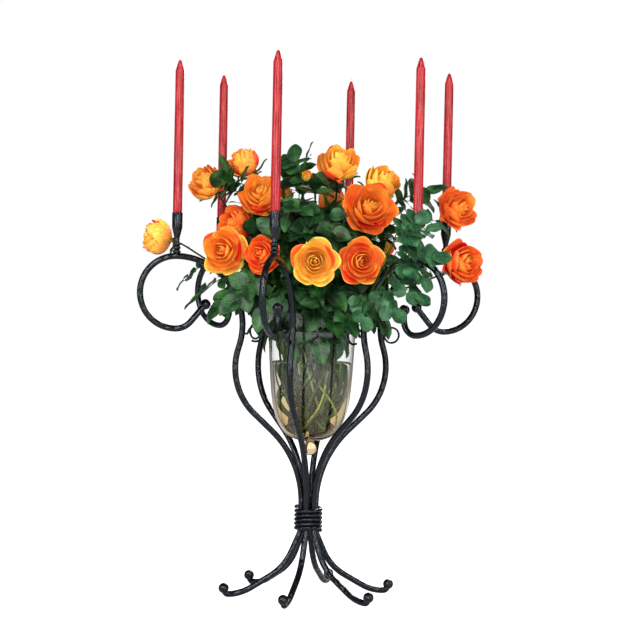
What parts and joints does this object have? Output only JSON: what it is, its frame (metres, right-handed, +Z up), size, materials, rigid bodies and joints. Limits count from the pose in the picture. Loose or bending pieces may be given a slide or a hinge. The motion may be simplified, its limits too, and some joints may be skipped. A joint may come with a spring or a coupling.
{
  "type": "floral candelabra",
  "caption": "Wrought-iron floral candelabra: bent bars tied at the waist scroll out to turned cups with tall tapers, round a glass vase of roses.",
  "frame": {"origin": "on the floor, on the stand's vertical axis", "axes": "+Z up along the stand's axis; the viewer stands at -Y; arm 1 points 15 degrees from +X towards +Y and the arms are numbered anticlockwise seen from above"},
  "size_m": [0.828, 0.828, 1.286],
  "materials": {
    "iron": "black, hand-forged, satin",
    "wax": null,
    "wick": "braided cotton, unburnt",
    "glass": "clear, polished",
    "water": "clear water",
    "stalks": "green plant stalk",
    "leaves": "leaf green, soft sheen",
    "petals": "soft petals, yellow to orange and red"
  },
  "bodies": {
    "stand": {"stem_1": "iron", "foot_ball_1": "iron", "scroll_ball_1": "iron", "candle_cup_1": "iron", "stem_2": "iron", "foot_ball_2": "iron", "scroll_ball_2": "iron", "candle_cup_2": "iron", "stem_3": "iron", "foot_ball_3": "iron", "scroll_ball_3": "iron", "candle_cup_3": "iron", "stem_4": "iron", "foot_ball_4": "iron", "scroll_ball_4": "iron", "candle_cup_4": "iron", "stem_5": "iron", "foot_ball_5": "iron", "scroll_ball_5": "iron", "candle_cup_5": "iron", "stem_6": "iron", "foot_ball_6": "iron", "scroll_ball_6": "iron", "candle_cup_6": "iron", "neck_curls": "iron", "waist_wrap": "iron", "vase_ring": "iron"},
    "candle_body_1": {"candle_1": "wax", "wick_1": "wick"},
    "candle_body_2": {"candle_2": "wax", "wick_2": "wick"},
    "candle_body_3": {"candle_3": "wax", "wick_3": "wick"},
    "candle_body_4": {"candle_4": "wax", "wick_4": "wick"},
    "candle_body_5": {"candle_5": "wax", "wick_5": "wick"},
    "candle_body_6": {"candle_6": "wax", "wick_6": "wick"},
    "vase_body": {"vase": "glass", "water": "water"},
    "bouquet": {"flower_stalks": "stalks", "foliage": "leaves", "leaf_clusters": "leaves", "rose_1": "petals", "rose_2": "petals", "rose_3": "petals", "rose_4": "petals", "rose_5": "petals", "rose_6": "petals", "rose_7": "petals", "rose_8": "petals", "rose_9": "petals", "rose_10": "petals", "rose_11": "petals", "rose_12": "petals", "rose_13": "petals", "rose_14": "petals", "rose_buds": "petals", "back_roses": "petals"}
  },
  "joints": [
    {"name": "candle_lift_1", "type": "slide", "parent": "stand", "child": "candle_body_1", "axis": [0, 0, 1], "range_m": [0, 0.05]},
    {"name": "candle_lift_2", "type": "slide", "parent": "stand", "child": "candle_body_2", "axis": [0, 0, 1], "range_m": [0, 0.05]},
    {"name": "candle_lift_3", "type": "slide", "parent": "stand", "child": "candle_body_3", "axis": [0, 0, 1], "range_m": [0, 0.05]},
    {"name": "candle_lift_4", "type": "slide", "parent": "stand", "child": "candle_body_4", "axis": [0, 0, 1], "range_m": [0, 0.05]},
    {"name": "candle_lift_5", "type": "slide", "parent": "stand", "child": "candle_body_5", "axis": [0, 0, 1], "range_m": [0, 0.05]},
    {"name": "candle_lift_6", "type": "slide", "parent": "stand", "child": "candle_body_6", "axis": [0, 0, 1], "range_m": [0, 0.05]},
    {"name": "vase_lift", "type": "slide", "parent": "stand", "child": "vase_body", "axis": [0, 0, 1], "range_m": [0, 0.5]},
    {"name": "bouquet_lift", "type": "slide", "parent": "vase_body", "child": "bouquet", "axis": [0, 0, 1], "range_m": [0, 0.32]}
  ]
}
